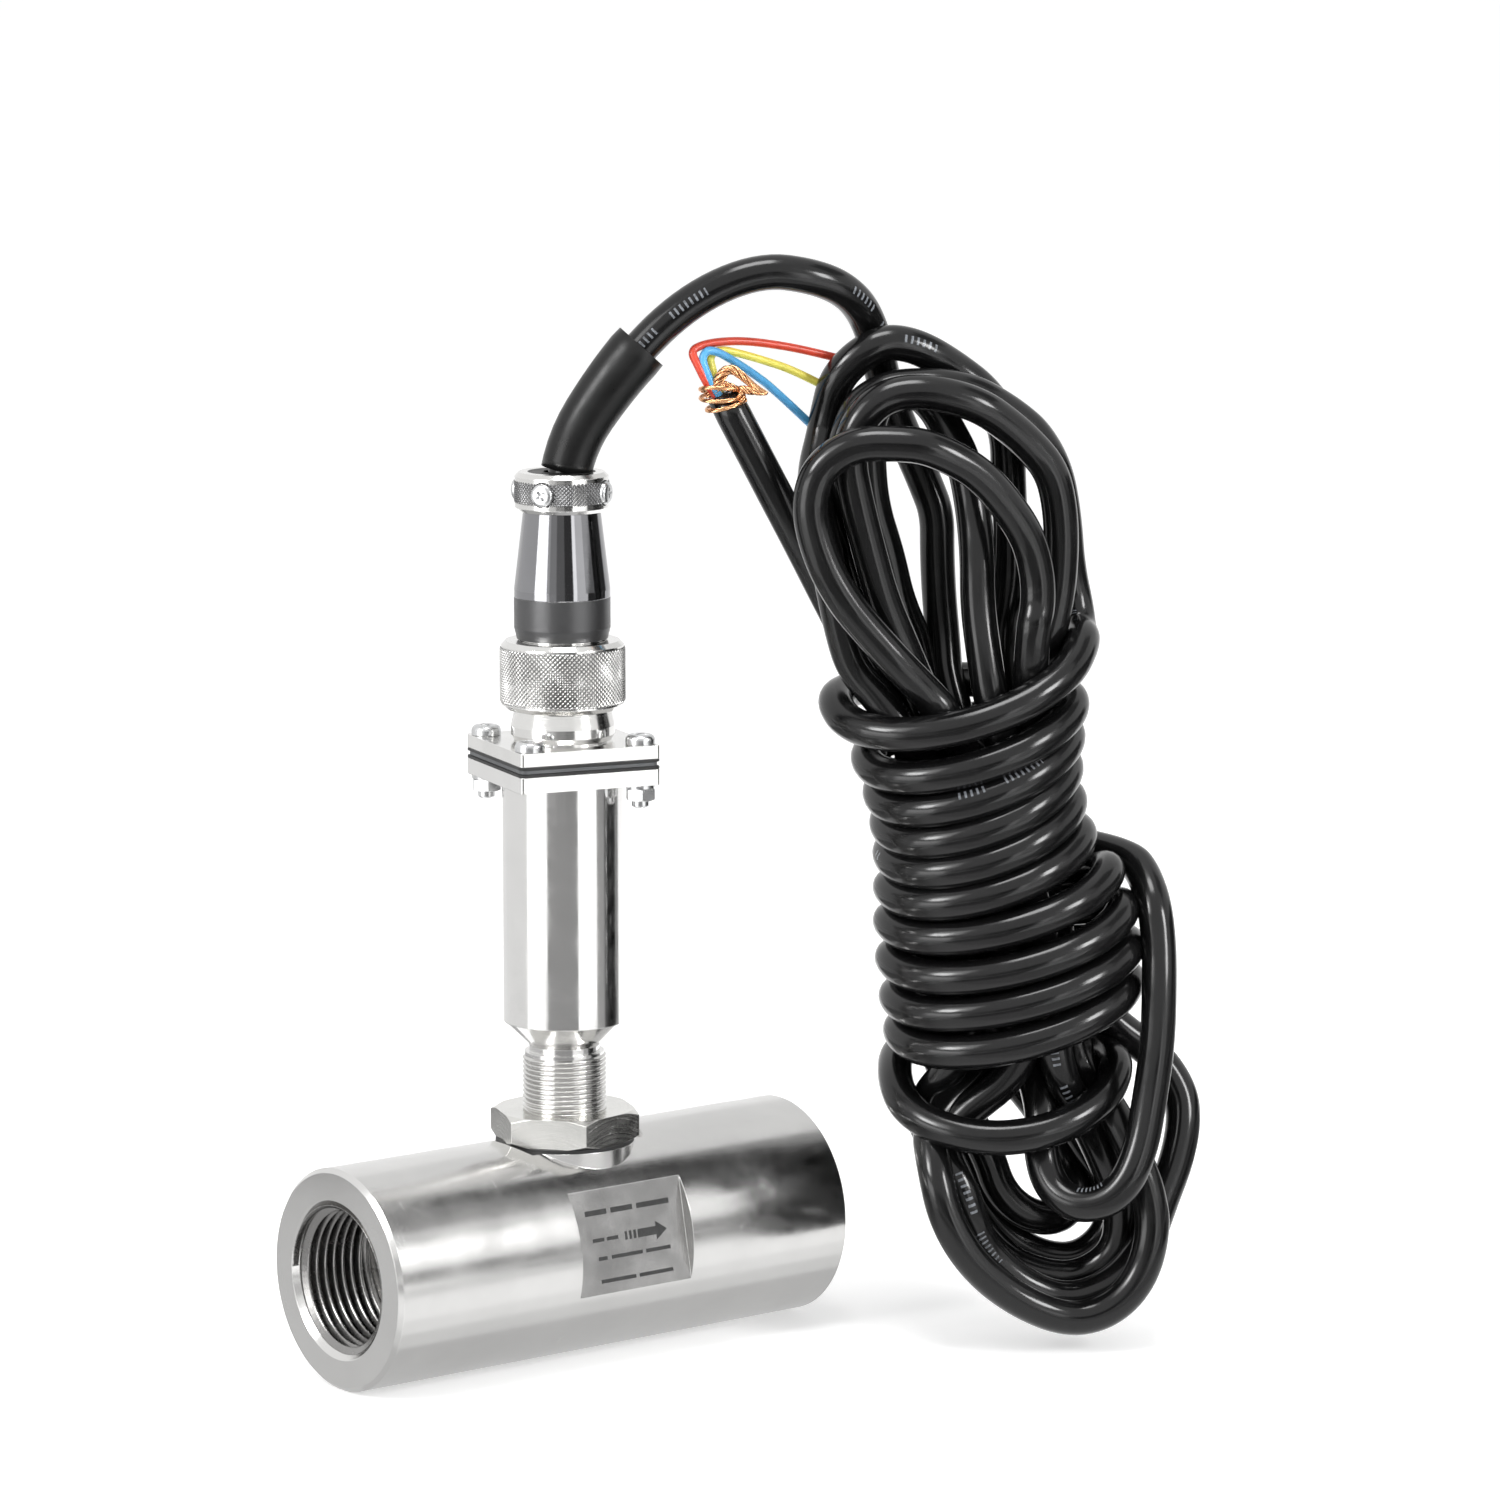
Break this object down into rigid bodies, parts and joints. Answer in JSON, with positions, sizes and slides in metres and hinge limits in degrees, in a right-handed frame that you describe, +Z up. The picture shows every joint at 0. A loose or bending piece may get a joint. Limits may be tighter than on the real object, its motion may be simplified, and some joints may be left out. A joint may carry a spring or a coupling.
{
  "type": "turbine flow meter",
  "caption": "Straight metal turbine flow meter with pipe threads at both ends, an upright pick-up stem with a square flange, and a screwed round plug on a bundled signal cable.",
  "frame": {"origin": "on the floor under the stem, midway along the flow body", "axes": "+X along the flow, from inlet to outlet; +Z up the pick-up stem; the marked flat faces -Y"},
  "size_m": [0.1826, 0.1093, 0.2502],
  "materials": {
    "machined_steel": "fine turned",
    "polished_steel": "polished",
    "bearing_carbide": "lapped",
    "rotor_steel": "machined",
    "plated_metal": "nickel plated",
    "fastener_steel": "zinc plated",
    "black_rubber": "matt",
    "black_chrome": "glossy black plated",
    "dark_grey_metal": "matt",
    "insulator": "moulded",
    "contact_metal": "gold plated",
    "magnet": "sintered",
    "copper": "bare copper",
    "circuit_board": "solder masked",
    "bobbin_plastic": "moulded",
    "cable_jacket": "glossy",
    "core_red": "insulation",
    "core_yellow": "insulation",
    "core_blue": "insulation"
  },
  "bodies": {
    "meter": {"flow_body": "machined_steel", "inlet_guide": "machined_steel", "outlet_guide": "machined_steel", "inlet_retaining_ring": "fastener_steel", "outlet_retaining_ring": "fastener_steel", "inlet_bearing": "bearing_carbide", "outlet_bearing": "bearing_carbide", "stem_seal_ring": "black_rubber", "lock_nut": "machined_steel", "sensor_housing": "polished_steel", "pole_piece": "magnet", "coil_bobbin": "bobbin_plastic", "coil_winding": "copper", "pickup_magnet": "magnet", "amplifier_board": "circuit_board", "board_components": "insulator", "flange_gasket": "black_rubber", "flange_screws": "fastener_steel", "flange_washers": "fastener_steel", "flange_nuts": "fastener_steel", "socket_shell": "plated_metal", "socket_insert": "insulator", "socket_pins": "contact_metal", "cable_hank": "cable_jacket", "cable_tail": "cable_jacket", "core_red": "core_red", "core_yellow": "core_yellow", "core_blue": "core_blue", "shield_twist": "copper"},
    "rotor": {"turbine_rotor": "rotor_steel", "rotor_shaft": "bearing_carbide"},
    "plug": {"plug_front_shell": "plated_metal", "plug_band_ring": "dark_grey_metal", "plug_back_shell": "black_chrome", "plug_insert": "insulator", "plug_contacts": "contact_metal", "plug_insert_ring": "insulator", "clamp_ring": "plated_metal", "clamp_bush": "black_rubber", "clamp_screws": "fastener_steel", "cable_sleeve": "black_rubber", "signal_cable": "cable_jacket"},
    "coupling_nut": {"coupling_nut": "plated_metal"}
  },
  "joints": [
    {"name": "rotor_spin", "type": "hinge", "parent": "meter", "child": "rotor", "pos_m": [0, 0, 0.025], "axis": [1, 0, 0], "continuous": true},
    {"name": "plug_pull", "type": "slide", "parent": "meter", "child": "plug", "axis": [0, 0, 1], "range_m": [0, 0.016]},
    {"name": "coupling_nut_turn", "type": "hinge", "parent": "plug", "child": "coupling_nut", "pos_m": [0, 0, 0.155], "axis": [0, 0, 1], "continuous": true}
  ]
}
